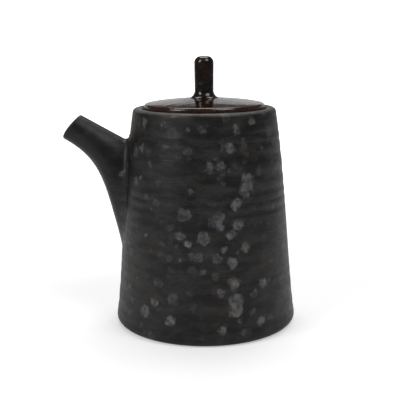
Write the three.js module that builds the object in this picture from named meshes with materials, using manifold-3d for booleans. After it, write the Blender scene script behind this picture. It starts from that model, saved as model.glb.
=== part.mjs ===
// A stoneware oil dispenser: a thrown pot, a spout luted to its wall, and a lid with a knob that lifts off.
// Millimetres, +Z up. The origin is the centre of the flat base, on the pot's axis. The spout points to -X.

import * as THREE from 'three';
import { mergeVertices } from 'three/addons/utils/BufferGeometryUtils.js';
import Module from 'manifold-3d';

// Gap left between two pieces that touch
const GAP = 0.3;

// Pot wall, from the base to the top of the rim
const RIM_HEIGHT = 109.8;
const FOOT_RADIUS = 46.75;
const RIM_RADIUS = 35.65;
const FOOT_LEAN = 0.125; // radius lost for each millimetre of height, at the foot
const RIM_LEAN = 0.161; // the same at the rim
const FOOT_ROUNDING = 3.4;
const WALL = 4.3;
const FLOOR = 6;
const INNER_CORNER = 9;

// Rim and the gallery that the lid sits in
const RIM_ROUNDING = 2; // outer edge
const RIM_INNER_ROUNDING = 1.5;
const RIM_BAND = 4.7; // from the outside of the rim to the gallery
const GALLERY_DEPTH = 1.6;
const SEAT_WIDTH = 3.2;
const THROAT = 5; // straight height of the mouth under the seat
const UNDERCUT = 9; // height in which the mouth widens to the chamber

// Lid
const LID_CLEARANCE = 0.7; // around the edge, in the gallery
const LID_EDGE = 3.6; // thickness at the edge
const LID_EDGE_ROUNDING = 1.6;
const LID_THICKNESS = 3.6;
const DOME_RISE = 3.1; // from the edge to the crown
const DOME_SHOULDER_INSET = 3.4; // how far in from the edge the dome turns
const DOME_SHOULDER_RISE = 1;
const FLANGE_CLEARANCE = 0.5; // around the flange, in the mouth
const FLANGE_WALL = 2.8;
const FLANGE_DEPTH = 7;

// Knob
const KNOB_RADIUS = 4.86;
const KNOB_NECK_RADIUS = 4.72;
const KNOB_HEIGHT = 19.95; // above the crown of the dome
const KNOB_TOP_ROUNDING = 3.3;
const KNOB_FLARE = 3.9; // fillet between the neck and the dome
const KNOB_FLARE_EDGE = 0.4;

// Spout, seen from the side
const LIP_REACH = 66.15; // centre of the lip from the pot's axis
const LIP_HEIGHT = 100.3;
const LIP_DIAMETER = 14.8; // from the top to the bottom of the lip
const LIP_TILT = 37.6; // degrees that the lip faces upwards
const LIP_BOW = 0.5; // how far the lip's sides stand in front of its top and bottom
const ROOT_TOP_HEIGHT = 92.9; // where the upper edge meets the wall
const HEEL_HEIGHT = 40.5; // where the lower edge meets the wall
const HEEL_LEAN = 16; // degrees from upright at the heel
const LIP_HANDLE = 24; // how far the lower edge runs on from the lip, beside the upper edge
const HEEL_HANDLE = 27.5; // how far it runs up from the heel

// Spout, across
const LIP_WIDTH = 13.4;
const ROOT_WIDTH = 21;
const LIP_WALL = 2.6;
const SPOUT_WALL = 3.4;
const ROOT_FILLET = 3.5;
const ROOT_EDGE = 0.5; // thickness of the fillet's edge on the wall
const POUR_HOLE_HEIGHT = 70;
const POUR_HOLE_LEDGE = 0.6; // wall left inside the spout around the pouring hole

// Facets
const POT_SIDES = 72;
const KNOB_SIDES = 36;
const SPOUT_SIDES = 32;
const HOLE_SIDES = 28;
const WALL_STEPS = 9;
const CHAMBER_STEPS = 6;
const CORNER_STEPS = 5;
const ROUNDING_STEPS = 3;
const DOME_STEPS = 7;
const KNOB_STEPS = 6;
const HALVINGS = 40; // steps of a search by halves

const wasm = await Module();
wasm.setup();

const lerp = THREE.MathUtils.lerp;
const radians = THREE.MathUtils.degToRad;

// Solids

function weld(geometry) {
  geometry.deleteAttribute('normal');
  geometry.deleteAttribute('uv');
  const merged = mergeVertices(geometry);
  const index = merged.getIndex().array;
  const kept = [];
  for (let i = 0; i < index.length; i += 3) {
    const [a, b, c] = index.subarray(i, i + 3);
    if (a !== b && b !== c && c !== a) kept.push(a, b, c);
  }
  merged.setIndex(kept);
  return merged;
}

function toManifold(geometry) {
  const welded = weld(geometry);
  return new wasm.Manifold(new wasm.Mesh({
    numProp: 3,
    vertProperties: new Float32Array(welded.getAttribute('position').array),
    triVerts: new Uint32Array(welded.getIndex().array),
  }));
}

function fromManifold(solid) {
  const mesh = solid.getMesh();
  const geometry = new THREE.BufferGeometry();
  geometry.setAttribute('position', new THREE.BufferAttribute(mesh.vertProperties, 3));
  geometry.setIndex(new THREE.BufferAttribute(mesh.triVerts, 1));
  return geometry;
}

// A profile of [radius, height] points, from the bottom of the outside to the top, turned about Z
function turned(profile, sides) {
  const points = profile.map(([radius, height]) => new THREE.Vector2(radius, height));
  return new THREE.LatheGeometry(points, sides).rotateX(Math.PI / 2);
}

// Points on an arc, with its angles in radians from the +radius direction
function arc(radius, height, rounding, from, to, steps) {
  return Array.from({ length: steps + 1 }, (_, i) => {
    const angle = lerp(from, to, i / steps);
    return [radius + rounding * Math.cos(angle), height + rounding * Math.sin(angle)];
  });
}

// Pot wall

// Outside radius of the wall: one smooth curve from the foot to the rim, with its own lean at each end
function wallRadius(height) {
  const s = height / RIM_HEIGHT;
  const share = 3 * s ** 2 - 2 * s ** 3;
  const lean = (s ** 3 - 2 * s ** 2 + s) * FOOT_LEAN + (s ** 3 - s ** 2) * RIM_LEAN;
  return lerp(FOOT_RADIUS, RIM_RADIUS, share) - lean * RIM_HEIGHT;
}

function wallPoints(from, to, steps, inset) {
  return Array.from({ length: steps + 1 }, (_, i) => {
    const height = lerp(from, to, i / steps);
    return [wallRadius(height) - inset, height];
  });
}

const galleryRadius = RIM_RADIUS - RIM_BAND;
const seatHeight = RIM_HEIGHT - GALLERY_DEPTH;
const mouthRadius = galleryRadius - SEAT_WIDTH;
const throatHeight = seatHeight - THROAT;

function potProfile() {
  const footTilt = Math.atan(FOOT_LEAN);
  const footTop = FOOT_ROUNDING * (1 + Math.sin(footTilt));
  const footCentre = wallRadius(footTop) - FOOT_ROUNDING * Math.cos(footTilt);
  const rimTilt = Math.atan(RIM_LEAN);
  const rimStart = RIM_HEIGHT - RIM_ROUNDING * (1 - Math.sin(rimTilt));
  const rimCentre = wallRadius(rimStart) - RIM_ROUNDING * Math.cos(rimTilt);
  const chamberTop = throatHeight - UNDERCUT;
  const cornerHeight = FLOOR + INNER_CORNER;
  const cornerRadius = wallRadius(cornerHeight) - WALL - INNER_CORNER;
  return [
    [0, 0],
    ...arc(footCentre, FOOT_ROUNDING, FOOT_ROUNDING, -Math.PI / 2, footTilt, CORNER_STEPS),
    ...wallPoints(footTop, rimStart, WALL_STEPS, 0).slice(1, -1),
    ...arc(rimCentre, RIM_HEIGHT - RIM_ROUNDING, RIM_ROUNDING, rimTilt, Math.PI / 2, ROUNDING_STEPS),
    ...arc(galleryRadius + RIM_INNER_ROUNDING, RIM_HEIGHT - RIM_INNER_ROUNDING, RIM_INNER_ROUNDING,
      Math.PI / 2, Math.PI, ROUNDING_STEPS),
    [galleryRadius, seatHeight],
    [mouthRadius, seatHeight],
    [mouthRadius, throatHeight],
    ...wallPoints(chamberTop, cornerHeight, CHAMBER_STEPS, WALL),
    ...arc(cornerRadius, cornerHeight, INNER_CORNER, 0, -Math.PI / 2, CORNER_STEPS).slice(1),
    [0, FLOOR],
  ];
}

// Spout

// The upper edge runs straight from the lip to the wall
const lipUp = new THREE.Vector3(Math.sin(radians(LIP_TILT)), 0, Math.cos(radians(LIP_TILT)));
const lipCentre = new THREE.Vector3(-LIP_REACH, 0, LIP_HEIGHT);
const lipTop = lipCentre.clone().addScaledVector(lipUp, LIP_DIAMETER / 2);
const rootTop = new THREE.Vector3(-wallRadius(ROOT_TOP_HEIGHT), 0, ROOT_TOP_HEIGHT);
const inwards = rootTop.clone().sub(lipTop).normalize();
const straightHandle = rootTop.distanceTo(lipTop) / 3;
const upperLean = Math.acos(-inwards.z);

// How far the fillet's edge ends from the wall, and how deep the uncut spout runs into the wall
const rootLevel = GAP + ROOT_EDGE;
const rootSunk = 1;

// The root is an oval drawn on the wall, from the heel to the top
function rootPoint(angle) {
  const height = lerp(HEEL_HEIGHT, ROOT_TOP_HEIGHT, (1 + Math.sin(angle)) / 2);
  const radius = wallRadius(height);
  const turn = ((ROOT_WIDTH / 2) * Math.cos(angle)) / radius;
  return new THREE.Vector3(-radius * Math.cos(turn), radius * Math.sin(turn), height);
}

// The line that the skin follows from the lip to the root at an angle around the spout.
// Its lean from upright at the root and its handles change from the upper edge to the lower one.
function skinLine(angle) {
  const low = (1 - Math.sin(angle)) / 2;
  const lean = lerp(upperLean, radians(HEEL_LEAN), low);
  const outFromRoot = new THREE.Vector3(-Math.sin(lean), 0, Math.cos(lean));
  const lip = lipCentre.clone().addScaledVector(lipUp, (LIP_DIAMETER / 2) * Math.sin(angle));
  lip.y = (LIP_WIDTH / 2) * Math.cos(angle);
  const root = rootPoint(angle);
  return new THREE.CubicBezierCurve3(
    lip,
    lip.clone().addScaledVector(inwards, lerp(straightHandle, LIP_HANDLE, low)),
    root.clone().addScaledVector(outFromRoot, lerp(straightHandle, HEEL_HANDLE, low)),
    root,
  );
}

// A point on the skin. t is 0 at the lip, 1 on the wall and more inside it.
function skin(t, angle) {
  const line = skinLine(angle);
  if (t <= 1) return line.getPoint(t);
  return line.v3.clone().addScaledVector(line.v3.clone().sub(line.v2), 3 * (t - 1));
}

// The directions along the skin towards the lip, and square out of it
function skinFrame(t, angle) {
  const step = 0.001;
  const towardsLip = skin(t, angle).sub(skin(t + step, angle)).normalize();
  const around = skin(t, angle + step).sub(skin(t, angle - step));
  const outwards = towardsLip.clone().cross(around).normalize();
  return { towardsLip, outwards };
}

// A point on the skin, or inside it by a share of the spout's wall: 0 is the outside and 1 the bore
function layer(t, angle, share) {
  const wall = lerp(LIP_WALL, SPOUT_WALL, Math.min(t, 1));
  return skin(t, angle).addScaledVector(skinFrame(t, angle).outwards, -wall * share);
}

// The lip is rounded from the outside to the bore, and bowed
function lipPoint(angle, turn) {
  const { towardsLip, outwards } = skinFrame(0, angle);
  const bow = LIP_BOW * Math.cos(angle) ** 2;
  return layer(0, angle, 0.5)
    .addScaledVector(outwards, (LIP_WALL / 2) * Math.cos(turn))
    .addScaledVector(towardsLip, (LIP_WALL / 2) * Math.sin(turn) + bow);
}

function standOff(point) {
  return Math.hypot(point.x, point.y) - wallRadius(point.z);
}

// The t at which a line along the spout comes to a given distance from the pot's wall
function reach(angle, share, distance) {
  let outside = 0;
  let inside = 2;
  for (let i = 0; i < HALVINGS; i++) {
    const middle = (outside + inside) / 2;
    if (standOff(layer(middle, angle, share)) > distance) outside = middle;
    else inside = middle;
  }
  return outside;
}

function outFromWall(point) {
  return new THREE.Vector3(point.x, point.y, 0).normalize();
}

// A point of the fillet at the root: the skin moved out along the wall as it comes nearer to it
function filletPoint(angle, distance) {
  const t = reach(angle, 0, distance);
  const point = layer(t, angle, 0);
  const spread = ROOT_FILLET - Math.sqrt(ROOT_FILLET ** 2 - (ROOT_FILLET - distance) ** 2);
  const alongWall = skinFrame(t, angle).outwards;
  const wallNormal = outFromWall(point);
  alongWall.addScaledVector(wallNormal, -alongWall.dot(wallNormal)).normalize();
  return point.addScaledVector(alongWall, spread);
}

// The fillet's edge carried straight into the wall, for the cut that seats it
function sunkPoint(angle) {
  const edge = filletPoint(angle, rootLevel);
  return edge.addScaledVector(outFromWall(edge), -rootSunk);
}

// Each ring is a function from an angle to a point: the outside from the root to the lip, then the bore back
function spoutRings() {
  const filletSteps = 4;
  const outerSteps = 11;
  const lipSteps = 5;
  const boreSteps = 11;
  const rings = [sunkPoint];
  for (let i = 0; i < filletSteps; i++) {
    rings.push((angle) => filletPoint(angle, lerp(rootLevel, ROOT_FILLET, (i / filletSteps) ** 2)));
  }
  for (let i = 0; i < outerSteps; i++) {
    rings.push((angle) => layer(lerp(reach(angle, 0, ROOT_FILLET), 0, i / outerSteps), angle, 0));
  }
  for (let i = 0; i <= lipSteps; i++) {
    rings.push((angle) => lipPoint(angle, (Math.PI * i) / lipSteps));
  }
  for (let i = 1; i <= boreSteps; i++) {
    rings.push((angle) => layer(lerp(0, reach(angle, 1, -rootSunk), i / boreSteps), angle, 1));
  }
  return rings;
}

// Rings of equal counts joined into one closed skin, the last ring to the first
function ringSolid(rings, sides) {
  const positions = [];
  for (const ring of rings) {
    for (let i = 0; i < sides; i++) {
      positions.push(...ring((2 * Math.PI * i) / sides).toArray());
    }
  }
  const indices = [];
  for (let r = 0; r < rings.length; r++) {
    const here = r * sides;
    const next = ((r + 1) % rings.length) * sides;
    for (let i = 0; i < sides; i++) {
      const j = (i + 1) % sides;
      indices.push(here + i, next + i, here + j, here + j, next + i, next + j);
    }
  }
  const geometry = new THREE.BufferGeometry();
  geometry.setAttribute('position', new THREE.Float32BufferAttribute(positions, 3));
  geometry.setIndex(indices);
  return toManifold(geometry);
}

// The space that the pot takes up, with the gap that the spout keeps to it
function potSpace() {
  const profile = [[0, 0], ...wallPoints(0, RIM_HEIGHT, WALL_STEPS * 3, -GAP), [0, RIM_HEIGHT]];
  return toManifold(turned(profile, POT_SIDES));
}

function pourHole() {
  const radius = ROOT_WIDTH / 2 - SPOUT_WALL - POUR_HOLE_LEDGE;
  const length = FOOT_RADIUS;
  const drill = new THREE.CylinderGeometry(radius, radius, length, HOLE_SIDES);
  drill.rotateZ(Math.PI / 2).translate(-FOOT_RADIUS / 2 - mouthRadius / 2, 0, POUR_HOLE_HEIGHT);
  return toManifold(drill);
}

function potBody() {
  return fromManifold(toManifold(turned(potProfile(), POT_SIDES)).subtract(pourHole()));
}

function pouringSpout() {
  return fromManifold(ringSolid(spoutRings(), SPOUT_SIDES).subtract(potSpace()));
}

// Lid

const lidRadius = galleryRadius - LID_CLEARANCE;
const lidBottom = seatHeight + GAP;
const shoulderHeight = lidBottom + LID_EDGE;
const dome = new THREE.QuadraticBezierCurve(
  new THREE.Vector2(lidRadius - LID_EDGE_ROUNDING, shoulderHeight),
  new THREE.Vector2(lidRadius - LID_EDGE_ROUNDING - DOME_SHOULDER_INSET, shoulderHeight + DOME_SHOULDER_RISE),
  new THREE.Vector2(0, shoulderHeight + DOME_RISE),
);

// Height of the dome's upper face at a radius
function domeHeight(radius) {
  let outer = 0;
  let inner = 1;
  for (let i = 0; i < HALVINGS; i++) {
    const middle = (outer + inner) / 2;
    if (dome.getPoint(middle).x > radius) outer = middle;
    else inner = middle;
  }
  return dome.getPoint(outer).y;
}

function lidProfile() {
  const flangeOuter = mouthRadius - FLANGE_CLEARANCE;
  const flangeInner = flangeOuter - FLANGE_WALL;
  const flangeBottom = lidBottom - FLANGE_DEPTH;
  const flangeRounding = FLANGE_WALL / 2;
  const bottomRounding = LID_EDGE_ROUNDING / 2;
  const ceilingSteps = 3;
  const ceiling = Array.from({ length: ceilingSteps + 1 }, (_, i) => {
    const radius = lerp(0, flangeInner, i / ceilingSteps);
    return [radius, domeHeight(radius) - LID_THICKNESS];
  });
  return [
    ...ceiling,
    ...arc(flangeOuter - flangeRounding, flangeBottom + flangeRounding, flangeRounding,
      -Math.PI, 0, ROUNDING_STEPS),
    [flangeOuter, lidBottom],
    ...arc(lidRadius - bottomRounding, lidBottom + bottomRounding, bottomRounding,
      -Math.PI / 2, 0, ROUNDING_STEPS),
    ...arc(lidRadius - LID_EDGE_ROUNDING, shoulderHeight - LID_EDGE_ROUNDING, LID_EDGE_ROUNDING,
      0, Math.PI / 2, ROUNDING_STEPS),
    ...dome.getPoints(DOME_STEPS).slice(1).map((point) => [point.x, point.y]),
  ];
}

function lid() {
  return weld(turned(lidProfile(), POT_SIDES));
}

// Knob

function knobProfile() {
  const crown = shoulderHeight + DOME_RISE;
  const top = crown + KNOB_HEIGHT;
  const flareRadius = KNOB_NECK_RADIUS + KNOB_FLARE;
  const flareBottom = domeHeight(flareRadius) + GAP;
  const baseSteps = 3;
  const base = Array.from({ length: baseSteps + 1 }, (_, i) => {
    const radius = lerp(0, flareRadius, i / baseSteps);
    return [radius, domeHeight(radius) + GAP];
  });
  return [
    ...base,
    ...arc(flareRadius, flareBottom + KNOB_FLARE_EDGE + KNOB_FLARE, KNOB_FLARE,
      -Math.PI / 2, -Math.PI, KNOB_STEPS),
    ...arc(KNOB_RADIUS - KNOB_TOP_ROUNDING, top - KNOB_TOP_ROUNDING, KNOB_TOP_ROUNDING,
      0, Math.PI / 2, KNOB_STEPS),
    [0, top],
  ];
}

function lidKnob() {
  return weld(turned(knobProfile(), KNOB_SIDES));
}

// The object

const mattGlaze = new THREE.MeshStandardMaterial({ color: 0x2e2e2f, roughness: 0.55, metalness: 0 });
const glossGlaze = new THREE.MeshStandardMaterial({ color: 0x22120b, roughness: 0.12, metalness: 0 });

function piece(name, geometry, material) {
  geometry.computeVertexNormals();
  const mesh = new THREE.Mesh(geometry, material);
  mesh.name = name;
  return mesh;
}

const pot = new THREE.Group();
pot.add(piece('pot_body', potBody(), mattGlaze));
pot.add(piece('pouring_spout', pouringSpout(), mattGlaze));

const cover = new THREE.Group();
cover.add(piece('lid', lid(), glossGlaze));
cover.add(piece('lid_knob', lidKnob(), glossGlaze));

const oilDispenser = new THREE.Group();
oilDispenser.add(pot, cover);

export default oilDispenser;
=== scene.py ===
# A stoneware oil dispenser with a matt charcoal pot and spout and a glossy brown lid and knob.
# Lengths are in millimetres and turned into metres when a mesh is made or the camera is placed.
# The stage, the lights and the distances of the bumps are in metres.

import math

import bpy
from mathutils import Matrix, Vector


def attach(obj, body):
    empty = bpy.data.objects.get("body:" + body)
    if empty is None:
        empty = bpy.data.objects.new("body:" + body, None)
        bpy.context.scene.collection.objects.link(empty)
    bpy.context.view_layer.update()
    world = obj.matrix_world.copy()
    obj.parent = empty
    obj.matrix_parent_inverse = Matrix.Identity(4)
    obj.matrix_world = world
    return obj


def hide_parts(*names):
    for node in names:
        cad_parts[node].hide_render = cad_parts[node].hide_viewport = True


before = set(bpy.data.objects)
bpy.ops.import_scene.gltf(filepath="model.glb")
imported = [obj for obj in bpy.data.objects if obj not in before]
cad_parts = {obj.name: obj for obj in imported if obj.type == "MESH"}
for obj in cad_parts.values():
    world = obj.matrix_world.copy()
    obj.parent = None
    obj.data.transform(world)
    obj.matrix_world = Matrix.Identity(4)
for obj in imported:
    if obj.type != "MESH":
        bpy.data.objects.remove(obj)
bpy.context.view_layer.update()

MM = 0.001
QUARTER = math.pi / 2

# Pot wall
RIM_HEIGHT = 109.8
FOOT_RADIUS = 46.75
RIM_RADIUS = 35.65
FOOT_LEAN = 0.125
RIM_LEAN = 0.161
FOOT_ROUNDING = 3.4
WALL = 4.3
FLOOR = 6.0
INNER_CORNER = 9.0

# Rim and gallery
RIM_ROUNDING = 2.0
RIM_INNER_ROUNDING = 1.5
RIM_BAND = 4.7
GALLERY_DEPTH = 1.6
SEAT_WIDTH = 3.2
THROAT = 5.0
UNDERCUT = 9.0
EDGE_ROUNDING = 0.5

# Lid
SEAT_GAP = 0.3
LID_CLEARANCE = 0.7
LID_EDGE = 3.6
LID_EDGE_ROUNDING = 1.6
LID_THICKNESS = 3.6
DOME_RISE = 3.1
DOME_SHOULDER_INSET = 3.4
DOME_SHOULDER_RISE = 1.0
FLANGE_CLEARANCE = 0.5
FLANGE_WALL = 2.8
FLANGE_DEPTH = 7.0

# Knob
KNOB_RADIUS = 4.86
KNOB_NECK_RADIUS = 4.72
KNOB_HEIGHT = 19.95
KNOB_TOP_ROUNDING = 3.3
KNOB_FLARE = 3.9
KNOB_SINK = 0.5

# Spout
LIP_REACH = 66.15
LIP_HEIGHT = 100.3
LIP_DIAMETER = 14.8
LIP_TILT = math.radians(37.6)
LIP_BOW = 0.5
ROOT_TOP_HEIGHT = 92.9
HEEL_HEIGHT = 40.5
HEEL_LEAN = math.radians(16)
LIP_HANDLE = 24.0
HEEL_HANDLE = 27.5
LIP_WIDTH = 13.4
ROOT_WIDTH = 21.0
LIP_WALL = 2.6
SPOUT_WALL = 3.4
ROOT_FILLET = 3.5
ROOT_SUNK = 0.8
POUR_HOLE_HEIGHT = 70.0
POUR_HOLE_LEDGE = 0.6

# Throwing rings: shallow grooves cut inwards from the wall
RING_PITCH = 6.4
RING_DEPTH = 0.22
RING_FADE = 6.0  # the rings fade in over this height from the roundings of the foot and the rim
RING_DRIFT = 0.35  # turns by which the rings run ahead and fall behind as they climb
RING_DRIFT_RATE = 0.19
RING_STRENGTH = 0.55  # the mean share of the depth, and how far it swings to either side
RING_STRENGTH_SWING = 0.45
RING_STRENGTH_RATE = 0.083
RING_STRENGTH_START = 1.1
WOBBLE_DEPTH = 0.14
WOBBLE_LOBES = 2
WOBBLE_TWIST = 0.045
SMOOTH_MARGIN = 1.0  # the wall is smooth up to this far beyond the spout's fillet
SMOOTH_ROUND_ROOT = 9.0  # and the rings fade in over this distance from there

# Fineness of the meshes
SHARP_ANGLE = math.radians(40)
TURNED_SIDES = 256
WALL_STEPS = 180
INSIDE_STEPS = 40
ARC_STEPS = 12
EDGE_STEPS = 4
HOLE_SIDES = 64
SPOUT_SIDES = 128
SPOUT_STEPS = 44
CEILING_STEPS = 24
DOME_STEPS = 40
DOME_CROWDING = 1.5  # above 1, the dome's steps are closer near its edge
KNOB_ARC_STEPS = 20
REACH_HALVINGS = 26
DOME_HALVINGS = 30

# Grey crystal spots on the pot: degrees round from the front, height and radius
SPOTS = [
    (30, 76, 3.0), (21, 68, 2.4), (10, 86, 2.3), (3, 86, 1.9), (18, 94, 2.2), (9, 62, 2.6), (9, 58, 1.8),
    (22, 58, 2.5), (17, 54, 2.1), (26, 47, 2.3), (17, 40, 2.4), (18, 30, 2.4), (19, 22, 3.4), (19, 17, 2.9),
    (9, 26, 1.9), (39, 28, 2.3), (36, 10, 2.1), (-17, 53, 2.1), (-11, 50, 1.6), (-16, 42, 1.1),
    (-42, 14, 2.8), (-34, 20, 2.1), (-22, 12, 2.3), (10, 8, 1.9), (23, 102, 1.9),
]


def lerp(a, b, share):
    return a + (b - a) * share


def arc(radius, height, rounding, start, end, steps=ARC_STEPS):
    """Profile points on an arc round (radius, height), from one angle to another."""
    angles = [lerp(start, end, i / steps) for i in range(steps + 1)]
    return [(radius + rounding * math.cos(a), height + rounding * math.sin(a)) for a in angles]


# Meshes

def make_piece(name, points, faces, material):
    mesh = bpy.data.meshes.new(name)
    mesh.from_pydata([Vector(p) * MM for p in points], [], faces)
    mesh.validate()
    mesh.polygons.foreach_set("use_smooth", [True] * len(mesh.polygons))
    mesh.set_sharp_from_angle(angle=SHARP_ANGLE)
    mesh.materials.append(material)
    piece = bpy.data.objects.new(name, mesh)
    bpy.context.scene.collection.objects.link(piece)
    return piece


def turned(profile, dent=None):
    """Points and faces of a closed profile of (radius, height), turned about Z.

    The profile's first and last points lie on the axis. The dent says how far a point moves inwards.
    """
    points = [(0, 0, profile[0][1])]
    for radius, height in profile[1:-1]:
        for i in range(TURNED_SIDES):
            angle = 2 * math.pi * i / TURNED_SIDES
            r = radius - (dent(radius, height, angle) if dent else 0)
            points.append((r * math.cos(angle), r * math.sin(angle), height))
    points.append((0, 0, profile[-1][1]))
    last = len(points) - 1
    rings = len(profile) - 2
    top = 1 + (rings - 1) * TURNED_SIDES
    faces = []
    for i in range(TURNED_SIDES):
        j = (i + 1) % TURNED_SIDES
        faces.append((0, 1 + j, 1 + i))
        faces.append((last, top + i, top + j))
    for ring in range(rings - 1):
        here = 1 + ring * TURNED_SIDES
        for i in range(TURNED_SIDES):
            j = (i + 1) % TURNED_SIDES
            faces.append((here + i, here + j, here + TURNED_SIDES + j, here + TURNED_SIDES + i))
    return points, faces


# Pot

def wall_radius(height):
    """The outside of the wall: a cubic from the foot to the rim with its own lean at each end."""
    s = height / RIM_HEIGHT
    share = 3 * s ** 2 - 2 * s ** 3
    lean = (s ** 3 - 2 * s ** 2 + s) * FOOT_LEAN + (s ** 3 - s ** 2) * RIM_LEAN
    return lerp(FOOT_RADIUS, RIM_RADIUS, share) - lean * RIM_HEIGHT


GALLERY_RADIUS = RIM_RADIUS - RIM_BAND
SEAT_HEIGHT = RIM_HEIGHT - GALLERY_DEPTH
MOUTH_RADIUS = GALLERY_RADIUS - SEAT_WIDTH
THROAT_HEIGHT = SEAT_HEIGHT - THROAT


def wall_points(start, end, steps, inset=0.0):
    heights = [lerp(start, end, i / steps) for i in range(steps + 1)]
    return [(wall_radius(h) - inset, h) for h in heights]


def pot_profile():
    """From the middle of the base, up the outside, over the rim and seat, and down to the floor."""
    foot_tilt = math.atan(FOOT_LEAN)
    foot_top = FOOT_ROUNDING * (1 + math.sin(foot_tilt))
    foot_centre = wall_radius(foot_top) - FOOT_ROUNDING * math.cos(foot_tilt)
    rim_tilt = math.atan(RIM_LEAN)
    rim_start = RIM_HEIGHT - RIM_ROUNDING * (1 - math.sin(rim_tilt))
    rim_centre = wall_radius(rim_start) - RIM_ROUNDING * math.cos(rim_tilt)
    corner_height = FLOOR + INNER_CORNER
    corner_radius = wall_radius(corner_height) - WALL - INNER_CORNER
    return [
        (0, 0),
        *arc(foot_centre, FOOT_ROUNDING, FOOT_ROUNDING, -QUARTER, foot_tilt),
        *wall_points(foot_top, rim_start, WALL_STEPS)[1:-1],
        *arc(rim_centre, RIM_HEIGHT - RIM_ROUNDING, RIM_ROUNDING, rim_tilt, QUARTER),
        *arc(GALLERY_RADIUS + RIM_INNER_ROUNDING, RIM_HEIGHT - RIM_INNER_ROUNDING, RIM_INNER_ROUNDING,
             QUARTER, math.pi),
        (GALLERY_RADIUS, SEAT_HEIGHT),
        *arc(MOUTH_RADIUS + EDGE_ROUNDING, SEAT_HEIGHT - EDGE_ROUNDING, EDGE_ROUNDING,
             QUARTER, math.pi, EDGE_STEPS),
        (MOUTH_RADIUS, THROAT_HEIGHT),
        *wall_points(THROAT_HEIGHT - UNDERCUT, corner_height, INSIDE_STEPS, WALL),
        *arc(corner_radius, corner_height, INNER_CORNER, 0, -QUARTER)[1:],
        (0, FLOOR),
    ]


def throwing_rings(radius, height, angle):
    """How deep the rings and the slight wobble of a hand-thrown wall cut into its outside."""
    low, high = FOOT_ROUNDING, RIM_HEIGHT - RIM_ROUNDING
    if radius < wall_radius(height) - WALL / 2 or not low < height < high:
        return 0
    fade = min(1, (height - low) / RING_FADE, (high - height) / RING_FADE)
    turn = height / RING_PITCH + angle / (2 * math.pi) + RING_DRIFT * math.sin(height * RING_DRIFT_RATE)
    ring = 0.5 - 0.5 * math.cos(2 * math.pi * turn)
    swing = math.sin(height * RING_STRENGTH_RATE + RING_STRENGTH_START)
    strength = RING_STRENGTH + RING_STRENGTH_SWING * swing
    wobble = 0.5 + 0.5 * math.sin(WOBBLE_LOBES * angle + height * WOBBLE_TWIST)
    beside_root = abs(angle - math.pi) * radius - ROOT_WIDTH / 2
    clear = max(beside_root, HEEL_HEIGHT - height, height - ROOT_TOP_HEIGHT) - ROOT_FILLET - SMOOTH_MARGIN
    fade *= min(1, max(0, clear / SMOOTH_ROUND_ROOT))
    return fade * (RING_DEPTH * ring * strength + WOBBLE_DEPTH * wobble)


def cut_pour_hole(pot):
    """Drills the hole behind the spout, through this side of the wall alone."""
    radius = (ROOT_WIDTH / 2 - SPOUT_WALL - POUR_HOLE_LEDGE) * MM
    bpy.ops.mesh.primitive_cylinder_add(
        vertices=HOLE_SIDES, radius=radius, depth=FOOT_RADIUS * MM, rotation=(0, QUARTER, 0),
        location=(-(FOOT_RADIUS + MOUTH_RADIUS) / 2 * MM, 0, POUR_HOLE_HEIGHT * MM))
    drill = bpy.context.object
    cut = pot.modifiers.new("pour_hole", "BOOLEAN")
    cut.operation = "DIFFERENCE"
    cut.solver = "EXACT"
    cut.object = drill
    graph = bpy.context.evaluated_depsgraph_get()
    mesh = bpy.data.meshes.new_from_object(pot.evaluated_get(graph))
    pot.modifiers.clear()
    pot.data = mesh
    bpy.data.objects.remove(drill)


# Spout

LIP_UP = Vector((math.sin(LIP_TILT), 0, math.cos(LIP_TILT)))
LIP_CENTRE = Vector((-LIP_REACH, 0, LIP_HEIGHT))
LIP_TOP = LIP_CENTRE + LIP_UP * (LIP_DIAMETER / 2)
ROOT_TOP = Vector((-wall_radius(ROOT_TOP_HEIGHT), 0, ROOT_TOP_HEIGHT))
INWARDS = (ROOT_TOP - LIP_TOP).normalized()
STRAIGHT_HANDLE = (ROOT_TOP - LIP_TOP).length / 3
UPPER_LEAN = math.acos(-INWARDS.z)


def skin_line(angle):
    """The four Bezier points of the skin's line from the lip to the root, at an angle round the spout."""
    low = (1 - math.sin(angle)) / 2
    lean = lerp(UPPER_LEAN, HEEL_LEAN, low)
    lip = LIP_CENTRE + LIP_UP * (LIP_DIAMETER / 2 * math.sin(angle))
    lip.y = LIP_WIDTH / 2 * math.cos(angle)
    height = lerp(HEEL_HEIGHT, ROOT_TOP_HEIGHT, 1 - low)
    radius = wall_radius(height)
    turn = ROOT_WIDTH / 2 * math.cos(angle) / radius
    root = Vector((-radius * math.cos(turn), radius * math.sin(turn), height))
    out = Vector((-math.sin(lean), 0, math.cos(lean)))
    return (lip, lip + INWARDS * lerp(STRAIGHT_HANDLE, LIP_HANDLE, low),
            root + out * lerp(STRAIGHT_HANDLE, HEEL_HANDLE, low), root)


def skin(t, line):
    """A point of the skin's line: t is 0 at the lip, 1 at the root and more inside the pot's wall."""
    a, b, c, d = line
    if t > 1:
        return d + (d - c) * (3 * (t - 1))
    u = 1 - t
    return a * u ** 3 + b * (3 * u * u * t) + c * (3 * u * t * t) + d * t ** 3


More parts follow.
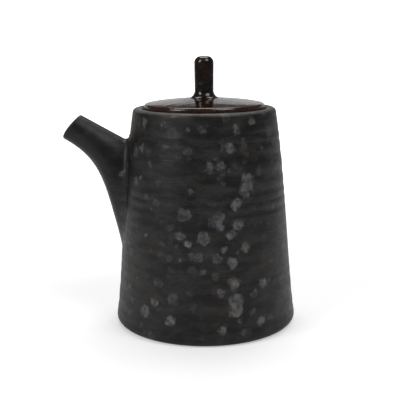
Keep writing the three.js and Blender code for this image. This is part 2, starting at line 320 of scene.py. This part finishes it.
class Meridian:
    """One line of the spout's skin with its neighbours, which give the directions on it."""

    STEP = 0.001
    WELL_INSIDE = 2.0

    def __init__(self, angle):
        self.angle = angle
        self.line = skin_line(angle)
        self.before = skin_line(angle - self.STEP)
        self.after = skin_line(angle + self.STEP)

    def directions(self, t):
        """Towards the lip along the skin, and out of the skin."""
        towards_lip = (skin(t, self.line) - skin(t + self.STEP, self.line)).normalized()
        around = skin(t, self.after) - skin(t, self.before)
        return towards_lip, towards_lip.cross(around).normalized()

    def layer(self, t, share):
        """A point in the spout's wall: the share is 0 on the skin and 1 in the bore."""
        wall = lerp(LIP_WALL, SPOUT_WALL, min(t, 1))
        return skin(t, self.line) - self.directions(t)[1] * (wall * share)

    def reach(self, share, distance):
        """Where a layer comes within a distance of the pot's wall."""
        outside, inside = 0.0, self.WELL_INSIDE
        for _ in range(REACH_HALVINGS):
            middle = (outside + inside) / 2
            point = self.layer(middle, share)
            if math.hypot(point.x, point.y) - wall_radius(point.z) > distance:
                outside = middle
            else:
                inside = middle
        return outside

    def lip(self, turn):
        """A point of the rounded lip, from the skin at 0 to the bore at half a turn."""
        towards_lip, outwards = self.directions(0)
        forward = LIP_WALL / 2 * math.sin(turn) + LIP_BOW * math.cos(self.angle) ** 2
        return self.layer(0, 0.5) + outwards * (LIP_WALL / 2 * math.cos(turn)) + towards_lip * forward

    def fillet(self, distance):
        """A point of the fillet at the root, at a distance from the pot's wall."""
        t = self.reach(0, distance)
        point = self.layer(t, 0)
        spread = ROOT_FILLET - math.sqrt(ROOT_FILLET ** 2 - (ROOT_FILLET - distance) ** 2)
        normal = Vector((point.x, point.y, 0)).normalized()
        along = self.directions(t)[1]
        along = (along - normal * along.dot(normal)).normalized()
        return point + along * spread

    def points(self):
        """From inside the pot's wall, out over the fillet and the skin, round the lip and down the bore."""
        edge = self.fillet(0.0)
        normal = Vector((edge.x, edge.y, 0)).normalized()
        column = [edge - normal * ROOT_SUNK]
        column += [self.fillet(ROOT_FILLET * (i / ARC_STEPS) ** 2) for i in range(ARC_STEPS)]
        start = self.reach(0, ROOT_FILLET)
        column += [self.layer(lerp(start, 0, i / SPOUT_STEPS), 0) for i in range(SPOUT_STEPS)]
        column += [self.lip(math.pi * i / ARC_STEPS) for i in range(ARC_STEPS + 1)]
        end = self.reach(1, -ROOT_SUNK)
        column += [self.layer(lerp(0, end, i / SPOUT_STEPS), 1) for i in range(1, SPOUT_STEPS + 1)]
        return column


def spout_mesh():
    columns = [Meridian(2 * math.pi * i / SPOUT_SIDES).points() for i in range(SPOUT_SIDES)]
    rings = len(columns[0])
    points = [columns[i][ring] for ring in range(rings) for i in range(SPOUT_SIDES)]
    faces = []
    for ring in range(rings):
        here = ring * SPOUT_SIDES
        over = (ring + 1) % rings * SPOUT_SIDES
        for i in range(SPOUT_SIDES):
            j = (i + 1) % SPOUT_SIDES
            faces.append((here + i, over + i, over + j, here + j))
    return points, faces


# Lid and knob

LID_RADIUS = GALLERY_RADIUS - LID_CLEARANCE
LID_BOTTOM = SEAT_HEIGHT + SEAT_GAP
SHOULDER_HEIGHT = LID_BOTTOM + LID_EDGE
CROWN_HEIGHT = SHOULDER_HEIGHT + DOME_RISE
DOME_EDGE = LID_RADIUS - LID_EDGE_ROUNDING
DOME_LINE = [
    (DOME_EDGE, SHOULDER_HEIGHT),
    (DOME_EDGE - DOME_SHOULDER_INSET, SHOULDER_HEIGHT + DOME_SHOULDER_RISE),
    (0.0, CROWN_HEIGHT),
]


def dome_point(t):
    """A point on the dome's Bezier curve, from its edge at 0 to its crown at 1."""
    u = 1 - t
    weights = (u * u, 2 * u * t, t * t)
    return tuple(sum(w * p[k] for w, p in zip(weights, DOME_LINE)) for k in (0, 1))


def dome_height(radius):
    outer, inner = 0.0, 1.0
    for _ in range(DOME_HALVINGS):
        middle = (outer + inner) / 2
        if dome_point(middle)[0] > radius:
            outer = middle
        else:
            inner = middle
    return dome_point(outer)[1]


def lid_profile():
    """From the middle of the lid's hollow side, round the flange and the edge, and over the dome."""
    flange_outer = MOUTH_RADIUS - FLANGE_CLEARANCE
    flange_inner = flange_outer - FLANGE_WALL
    flange_rounding = FLANGE_WALL / 2
    flange_bottom = LID_BOTTOM - FLANGE_DEPTH
    bottom_rounding = LID_EDGE_ROUNDING / 2
    ceiling_radii = [flange_inner * i / CEILING_STEPS for i in range(CEILING_STEPS + 1)]
    return [
        *[(radius, dome_height(radius) - LID_THICKNESS) for radius in ceiling_radii],
        *arc(flange_outer - flange_rounding, flange_bottom + flange_rounding, flange_rounding, -math.pi, 0),
        (flange_outer, LID_BOTTOM),
        *arc(LID_RADIUS - bottom_rounding, LID_BOTTOM + bottom_rounding, bottom_rounding, -QUARTER, 0),
        *arc(DOME_EDGE, SHOULDER_HEIGHT - LID_EDGE_ROUNDING, LID_EDGE_ROUNDING, 0, QUARTER),
        *[dome_point((i / DOME_STEPS) ** DOME_CROWDING) for i in range(1, DOME_STEPS + 1)],
    ]


def knob_profile():
    """From inside the dome, out to the flare, up the stem and over the rounded top."""
    top = CROWN_HEIGHT + KNOB_HEIGHT
    flare_radius = KNOB_NECK_RADIUS + KNOB_FLARE
    fall_over_two = dome_height(flare_radius - 1) - dome_height(flare_radius + 1)
    tilt = math.atan(fall_over_two / 2)
    foot = dome_height(flare_radius)
    centre = foot + KNOB_FLARE * math.cos(tilt)
    return [
        (0, foot - KNOB_SINK),
        (flare_radius, foot - KNOB_SINK),
        *arc(flare_radius, centre, KNOB_FLARE, -QUARTER, -math.pi, KNOB_ARC_STEPS),
        *arc(KNOB_RADIUS - KNOB_TOP_ROUNDING, top - KNOB_TOP_ROUNDING, KNOB_TOP_ROUNDING,
             0, QUARTER, KNOB_ARC_STEPS),
        (0, top),
    ]


# Shader nodes

class Shader:
    """A material's node tree with short calls for the nodes that it is made of.

    Its places are in millimetres, so a scale of 0.1 means about one feature in 10 mm.
    """

    def __init__(self, name):
        self.material = bpy.data.materials.new(name)
        self.material.use_nodes = True
        self.tree = self.material.node_tree
        self.surface = self.tree.nodes["Principled BSDF"]
        coordinates = self.tree.nodes.new("ShaderNodeTexCoord").outputs["Object"]
        self.place = self.vector("SCALE", coordinates, scale=1 / MM)

    def put(self, socket, value):
        """Links a node's output to the socket, or writes a number or colour in it."""
        if isinstance(value, bpy.types.NodeSocket):
            self.tree.links.new(value, socket)
        else:
            socket.default_value = value

    def finish(self, name, value):
        self.put(self.surface.inputs[name], value)

    def vector(self, operation, a, b=None, scale=None):
        node = self.tree.nodes.new("ShaderNodeVectorMath")
        node.operation = operation
        self.put(node.inputs[0], a)
        if b is not None:
            self.put(node.inputs[1], b)
        if scale is not None:
            self.put(node.inputs["Scale"], scale)
        return node.outputs["Value" if operation in ("DISTANCE", "LENGTH") else "Vector"]

    def math(self, operation, a, b, clamp=False):
        node = self.tree.nodes.new("ShaderNodeMath")
        node.operation = operation
        node.use_clamp = clamp
        self.put(node.inputs[0], a)
        self.put(node.inputs[1], b)
        return node.outputs[0]

    def ramp(self, value, low, high, to_low=0.0, to_high=1.0):
        """Goes smoothly from to_low to to_high as the value goes from low to high."""
        node = self.tree.nodes.new("ShaderNodeMapRange")
        node.interpolation_type = "SMOOTHSTEP"
        for socket, number in zip(node.inputs, (value, low, high, to_low, to_high)):
            self.put(socket, number)
        return node.outputs["Result"]

    def noise(self, place, scale, detail=3.0, roughness=0.5, output="Fac"):
        node = self.tree.nodes.new("ShaderNodeTexNoise")
        self.put(node.inputs["Vector"], place)
        self.put(node.inputs["Scale"], scale)
        self.put(node.inputs["Detail"], detail)
        self.put(node.inputs["Roughness"], roughness)
        return node.outputs[output]

    def mix(self, share, a, b):
        node = self.tree.nodes.new("ShaderNodeMix")
        node.data_type = "RGBA"
        self.put(node.inputs["Factor"], share)
        self.put(node.inputs["A"], a)
        self.put(node.inputs["B"], b)
        return node.outputs["Result"]

    def axis(self, place, name):
        node = self.tree.nodes.new("ShaderNodeSeparateXYZ")
        self.put(node.inputs[0], place)
        return node.outputs[name]

    def bump(self, height, strength, distance):
        node = self.tree.nodes.new("ShaderNodeBump")
        self.put(node.inputs["Height"], height)
        self.put(node.inputs["Strength"], strength)
        self.put(node.inputs["Distance"], distance)
        return node.outputs["Normal"]


# Matt glaze of the pot and spout

CHARCOAL_DARK = (0.0030, 0.0030, 0.0032, 1)
CHARCOAL_LIGHT = (0.025, 0.0245, 0.0235, 1)
# painted shade: the darker colour put on the spout
SPOUT_PAINTED_SHADE = (0.0045, 0.0045, 0.0047, 1)
RUST = (0.031, 0.0185, 0.0125, 1)
CRYSTAL_COOL = (0.112, 0.112, 0.124, 1)
CRYSTAL_WARM = (0.165, 0.160, 0.150, 1)
# wear and a painted highlight: the lighter colour on the rim's top
WORN_RIM_AND_HIGHLIGHT = (0.105, 0.094, 0.082, 1)
CLAY_DARK = (0.10, 0.068, 0.048, 1)
CLAY_LIGHT = (0.19, 0.135, 0.095, 1)

SPOT_DRIFT = 5.0  # how far a noise bends the spots out of round
SPOT_SWELL = 1.12
SPOT_EDGE_OUTSIDE = 0.6
SPOT_EDGE_INSIDE = 0.9
CELL_FAINTEST = 0.35
CELL_EDGE = 0.16
SECOND_PATTERN = (31.0, 17.0, 5.0)  # moves the small crystals to another part of the pattern
SCATTERED_STRENGTH = 0.85
SMALL_STRENGTH = 0.42
RUST_STRENGTH = 0.4

# Painted shade darkens the spout's colour, from and to these distances from the pot's axis
SPOUT_SHADE_FROM = 41.0
SPOUT_SHADE_TO = 50.0
SPOUT_UNSHADED_SHARE = 0.35  # the share of the pot's colour that stays on the spout under the painted shade

# The rim's wear and painted highlight start and are full at these depths under its top, and the base is
# bare to a height
RIM_LIGHTENING_STARTS = 1.5
RIM_LIGHTENING_FULL = 0.4
BARE_HEIGHT = 0.35

MATT_IOR = 1.4
CRYSTAL_POLISH = 0.07  # crystals are this much less rough
BARE_ROUGHNESS = 0.85
GRAIN_RELIEF = 0.35
LINE_RELIEF = 0.65
CRYSTAL_RELIEF = 0.2
MATT_BUMP_STRENGTH = 0.5
MATT_BUMP_DISTANCE = 0.0004


def bent_place(s):
    noise = s.noise(s.place, scale=0.24, detail=3.0, roughness=0.6, output="Color")
    drift = s.vector("SUBTRACT", noise, (0.5, 0.5, 0.5))
    return s.vector("ADD", s.place, s.vector("SCALE", drift, scale=SPOT_DRIFT))


def placed_spots(s, place):
    """The crystal spots of the list, with soft edges."""
    spots = 0.0
    for degrees, height, radius in SPOTS:
        turn = math.radians(degrees)
        reach = wall_radius(height)
        centre = (reach * math.sin(turn), -reach * math.cos(turn), height)
        inside = s.math("SUBTRACT", radius * SPOT_SWELL, s.vector("DISTANCE", place, centre))
        spots = s.math("MAXIMUM", spots, s.ramp(inside, -SPOT_EDGE_OUTSIDE, SPOT_EDGE_INSIDE))
    return spots


def crystal_cells(s, place, scale, empty, size):
    """Soft spots in the cells of a Voronoi pattern, each with a size and a strength of its own.

    About this share of the cells is empty, and the size is in cells.
    """
    cells = s.tree.nodes.new("ShaderNodeTexVoronoi")
    s.put(cells.inputs["Vector"], place)
    s.put(cells.inputs["Scale"], scale)
    chosen = s.math("GREATER_THAN", s.axis(cells.outputs["Color"], "X"), empty)
    radius = s.math("MULTIPLY", s.axis(cells.outputs["Color"], "Y"), size)
    strength = s.ramp(s.axis(cells.outputs["Color"], "Z"), 0.0, 1.0, CELL_FAINTEST, 1.0)
    inside = s.math("SUBTRACT", radius, cells.outputs["Distance"])
    return s.math("MULTIPLY", s.math("MULTIPLY", chosen, strength), s.ramp(inside, 0.0, CELL_EDGE))


def crystal_cover(s):
    """How much crystal covers the glaze: placed spots, scattered ones in patches and faint small ones."""
    place = bent_place(s)
    patches = s.ramp(s.noise(s.place, scale=0.035, detail=1.0), 0.40, 0.56)
    scattered = s.math("MULTIPLY", crystal_cells(s, place, scale=0.15, empty=0.42, size=0.62), patches)
    elsewhere = s.vector("ADD", place, SECOND_PATTERN)
    small = crystal_cells(s, elsewhere, scale=0.2, empty=0.5, size=0.55)
    cover = s.math("MAXIMUM", placed_spots(s, place), s.math("MULTIPLY", scattered, SCATTERED_STRENGTH))
    cover = s.math("MAXIMUM", cover, s.math("MULTIPLY", small, SMALL_STRENGTH))
    speckle = s.noise(s.place, scale=0.38, detail=5.0, roughness=0.7)
    return s.math("MULTIPLY", cover, s.ramp(speckle, 0.36, 0.64, 0.22, 0.95), clamp=True)


def charcoal_ground(s):
    """Charcoal in flat clouds of dark and light, with rust in places."""
    flattened = s.vector("MULTIPLY", s.place, (1.0, 1.0, 2.2))
    cloud = s.noise(flattened, scale=0.085, detail=6.0, roughness=0.68)
    ground = s.mix(s.ramp(cloud, 0.38, 0.72), CHARCOAL_DARK, CHARCOAL_LIGHT)
    rust = s.noise(s.place, scale=0.055, detail=4.0, roughness=0.6)
    return s.mix(s.math("MULTIPLY", s.ramp(rust, 0.56, 0.70), RUST_STRENGTH), ground, RUST)


def crystal_grey(s):
    return s.mix(s.ramp(s.noise(s.place, scale=0.12, detail=1.0), 0.4, 0.6), CRYSTAL_COOL, CRYSTAL_WARM)


# Lighter glaze on the rim's top, partly wear and partly a painted highlight
def rim_wear_and_highlight(s, height):
    patches = s.ramp(s.noise(s.place, scale=0.18), 0.35, 0.65, 0.25, 0.85)
    return s.math("MULTIPLY", s.ramp(height, RIM_HEIGHT - RIM_LIGHTENING_STARTS, RIM_HEIGHT - RIM_LIGHTENING_FULL), patches)


def bare_clay(s):
    grain = s.noise(s.place, scale=0.8, detail=4.0, roughness=0.7)
    return s.mix(s.ramp(grain, 0.3, 0.7), CLAY_DARK, CLAY_LIGHT)


def matt_relief(s, crystals):
    """Grain, fine lines round the pot and raised crystals."""
    grain = s.noise(s.place, scale=1.1, detail=5.0, roughness=0.62)
    lines = s.noise(s.vector("MULTIPLY", s.place, (0.03, 0.03, 0.9)), scale=1.0, roughness=0.55)
    relief = s.math("ADD", s.math("MULTIPLY", grain, GRAIN_RELIEF), s.math("MULTIPLY", lines, LINE_RELIEF))
    return s.math("ADD", relief, s.math("MULTIPLY", crystals, CRYSTAL_RELIEF))


def matt_glaze():
    """Charcoal glaze with grey crystals, painted shade on the spout, wear and a painted highlight on the
    rim, and bare on the base.
    """
    s = Shader("matt_charcoal_glaze")
    height = s.axis(s.place, "Z")
    crystals = crystal_cover(s)
    colour = s.mix(crystals, charcoal_ground(s), crystal_grey(s))
    # painted shade: the spout's colour darkens beyond the pot's wall
    spout_unshaded = s.ramp(s.axis(s.place, "X"), -SPOUT_SHADE_TO, -SPOUT_SHADE_FROM, SPOUT_UNSHADED_SHARE, 1.0)
    colour = s.mix(spout_unshaded, SPOUT_PAINTED_SHADE, colour)
    # wear and a painted highlight lighten the rim's top
    colour = s.mix(rim_wear_and_highlight(s, height), colour, WORN_RIM_AND_HIGHLIGHT)
    bare = s.math("LESS_THAN", height, BARE_HEIGHT)
    s.finish("Base Color", s.mix(bare, colour, bare_clay(s)))
    rough = s.ramp(s.noise(s.place, scale=0.5, detail=4.0, roughness=0.65), 0.3, 0.7, 0.36, 0.50)
    rough = s.math("SUBTRACT", rough, s.math("MULTIPLY", crystals, CRYSTAL_POLISH))
    s.finish("Roughness", s.math("MAXIMUM", rough, s.math("MULTIPLY", bare, BARE_ROUGHNESS)))
    s.finish("IOR", MATT_IOR)
    s.finish("Normal", s.bump(matt_relief(s, crystals), MATT_BUMP_STRENGTH, MATT_BUMP_DISTANCE))
    return s.material


# Gloss glaze of the lid and knob

BROWN_BLACK = (0.0050, 0.0024, 0.0016, 1)
THIN_RUST = (0.050, 0.0155, 0.0070, 1)
THIN_STREAKS = 0.6
THIN_EDGE = 0.3
THIN_EDGE_WIDTH = 7.0
GLOSS_IOR = 1.52
COAT_WEIGHT = 0.1
COAT_ROUGHNESS = 0.03
RIPPLE_STRENGTH = 0.35
RIPPLE_DISTANCE = 0.0005


def gloss_glaze():
    """Brown-black glaze that breaks to rust where it runs thin, in streaks and towards the lid's edge."""
    s = Shader("gloss_brown_glaze")
    radius = s.vector("LENGTH", s.vector("MULTIPLY", s.place, (1.0, 1.0, 0.0)))
    streaks = s.ramp(s.noise(s.place, scale=0.11, roughness=0.6), 0.42, 0.68)
    edge = s.ramp(radius, DOME_EDGE - THIN_EDGE_WIDTH, LID_RADIUS, 0.0, THIN_EDGE)
    thin = s.math("ADD", s.math("MULTIPLY", streaks, THIN_STREAKS), edge, clamp=True)
    s.finish("Base Color", s.mix(thin, BROWN_BLACK, THIN_RUST))
    s.finish("Roughness", s.ramp(s.noise(s.place, scale=0.6), 0.3, 0.7, 0.07, 0.16))
    s.finish("IOR", GLOSS_IOR)
    s.finish("Coat Weight", COAT_WEIGHT)
    s.finish("Coat Roughness", COAT_ROUGHNESS)
    s.finish("Normal", s.bump(s.noise(s.place, scale=0.22), RIPPLE_STRENGTH, RIPPLE_DISTANCE))
    return s.material


# Stage

FLOOR_HALF_WIDTH = 1.6
FLOOR_FRONT = -1.4
BACK_DISTANCE = 0.9
BACK_CURVE = 0.35
BACK_HEIGHT = 0.5
BACK_STEPS = 16
FLOOR_DROP = 0.0001

PAPER = (0.82, 0.82, 0.82, 1)
SEEN_GLOW = 0.385  # added for the camera near the object
WHITENS_FROM = 0.2  # from this distance to the next, what is added rises to 1
WHITE_AT = 1.1
MIRRORED_GLOW = 0.06  # added where the glaze mirrors the paper


def paper_material():
    """Pale paper, lit by the lamps, with a glow for the camera that whitens the background."""
    material = bpy.data.materials.new("pale_paper")
    material.use_nodes = True
    nodes, links = material.node_tree.nodes, material.node_tree.links
    nodes.clear()
    path = nodes.new("ShaderNodeLightPath")
    mirrored = nodes.new("ShaderNodeMath")
    mirrored.operation = "MULTIPLY"
    links.new(path.outputs["Is Glossy Ray"], mirrored.inputs[0])
    mirrored.inputs[1].default_value = MIRRORED_GLOW
    away = nodes.new("ShaderNodeVectorMath")
    away.operation = "LENGTH"
    links.new(nodes.new("ShaderNodeTexCoord").outputs["Object"], away.inputs[0])
    whiten = nodes.new("ShaderNodeMapRange")
    links.new(away.outputs["Value"], whiten.inputs["Value"])
    whiten.inputs["From Min"].default_value = WHITENS_FROM
    whiten.inputs["From Max"].default_value = WHITE_AT
    whiten.inputs["To Min"].default_value = SEEN_GLOW
    whiten.inputs["To Max"].default_value = 1.0
    strength = nodes.new("ShaderNodeMath")
    strength.operation = "MULTIPLY_ADD"
    links.new(path.outputs["Is Camera Ray"], strength.inputs[0])
    links.new(whiten.outputs["Result"], strength.inputs[1])
    links.new(mirrored.outputs[0], strength.inputs[2])
    lit = nodes.new("ShaderNodeBsdfDiffuse")
    lit.inputs["Color"].default_value = PAPER
    shine = nodes.new("ShaderNodeEmission")
    links.new(strength.outputs[0], shine.inputs["Strength"])
    both = nodes.new("ShaderNodeAddShader")
    links.new(lit.outputs[0], both.inputs[0])
    links.new(shine.outputs[0], both.inputs[1])
    links.new(both.outputs[0], nodes.new("ShaderNodeOutputMaterial").inputs["Surface"])
    return material


def make_stage():
    """A floor that curves up into a backdrop."""
    bend = [(BACK_DISTANCE + BACK_CURVE * math.sin(a), BACK_CURVE * (1 - math.cos(a)))
            for a in (QUARTER * i / BACK_STEPS for i in range(BACK_STEPS + 1))]
    line = [(FLOOR_FRONT, 0), *bend, (BACK_DISTANCE + BACK_CURVE, BACK_HEIGHT)]
    points = [(side * FLOOR_HALF_WIDTH, y, z - FLOOR_DROP) for y, z in line for side in (-1, 1)]
    faces = [(2 * i, 2 * i + 1, 2 * i + 3, 2 * i + 2) for i in range(len(line) - 1)]
    mesh = bpy.data.meshes.new("studio_floor")
    mesh.from_pydata(points, [], faces)
    mesh.polygons.foreach_set("use_smooth", [True] * len(mesh.polygons))
    mesh.materials.append(paper_material())
    floor = bpy.data.objects.new("studio_floor", mesh)
    bpy.context.scene.collection.objects.link(floor)


# Softboxes: name, place, width, height and watts
SOFTBOXES = [
    ("left_softbox", (-0.88, -0.6, 0.72), 0.5, 0.8, 5.5),
    ("right_softbox", (0.62, -0.55, 1.05), 0.7, 0.7, 5.8),
    ("top_softbox", (0.0, 0.5, 1.2), 0.9, 0.7, 7.5),
]
LIGHTS_AIM_AT = Vector((0, 0, 0.06))
WORLD_SEEN = 1.0
WORLD_LIGHT = 0.12


def softbox(name, place, width, height, watts):
    light = bpy.data.lights.new(name, "AREA")
    light.shape = "RECTANGLE"
    light.size = width
    light.size_y = height
    light.energy = watts
    lamp = bpy.data.objects.new(name, light)
    lamp.location = place
    aim = LIGHTS_AIM_AT - Vector(place)
    lamp.rotation_euler = aim.to_track_quat("-Z", "Y").to_euler()
    bpy.context.scene.collection.objects.link(lamp)


def light_stage():
    """Three softboxes and a world that is white to the camera and lights the object weakly."""
    for box in SOFTBOXES:
        softbox(*box)
    world = bpy.data.worlds.new("studio")
    bpy.context.scene.world = world
    world.use_nodes = True
    nodes, links = world.node_tree.nodes, world.node_tree.links
    background = nodes["Background"]
    background.inputs["Color"].default_value = (1, 1, 1, 1)
    path = nodes.new("ShaderNodeLightPath")
    share = nodes.new("ShaderNodeMapRange")
    links.new(path.outputs["Is Camera Ray"], share.inputs["Value"])
    share.inputs["To Min"].default_value = WORLD_LIGHT
    share.inputs["To Max"].default_value = WORLD_SEEN
    links.new(share.outputs["Result"], background.inputs["Strength"])


# Camera: its place comes from matching the wall's and the lid's outlines to the photograph
CAMERA_PLACE = Vector((-2.499, -410.076, 147.304)) * MM
CAMERA_PITCH = math.radians(11.718)
CAMERA_ROLL = math.radians(0.467)
CAMERA_LENS = 73.351
CAMERA_SENSOR = 36.0
CAMERA_SEES_FROM = 0.01


def add_camera():
    data = bpy.data.cameras.new("camera")
    data.lens = CAMERA_LENS
    data.sensor_width = CAMERA_SENSOR
    data.clip_start = CAMERA_SEES_FROM
    camera = bpy.data.objects.new("camera", data)
    turn = Matrix.Rotation(QUARTER - CAMERA_PITCH, 4, "X") @ Matrix.Rotation(-CAMERA_ROLL, 4, "Z")
    camera.matrix_world = Matrix.Translation(CAMERA_PLACE) @ turn
    bpy.context.scene.collection.objects.link(camera)
    bpy.context.scene.camera = camera


# Scene

def dress(name, node, body, mesh, material, finish=None):
    """Makes the piece that stands for a CAD node and rides on its body."""
    piece = make_piece(name, *mesh, material)
    if finish:
        finish(piece)
    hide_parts(node)
    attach(piece, body)


add_camera()
charcoal = matt_glaze()
brown = gloss_glaze()
pot_mesh = turned(pot_profile(), throwing_rings)
dress("thrown_pot", "pot_body", "pot", pot_mesh, charcoal, cut_pour_hole)
dress("luted_spout", "pouring_spout", "pot", spout_mesh(), charcoal)
dress("domed_lid", "lid", "cover", turned(lid_profile()), brown)
dress("finger_knob", "lid_knob", "cover", turned(knob_profile()), brown)
make_stage()
light_stage()

bpy.context.scene.view_settings.view_transform = "Standard"
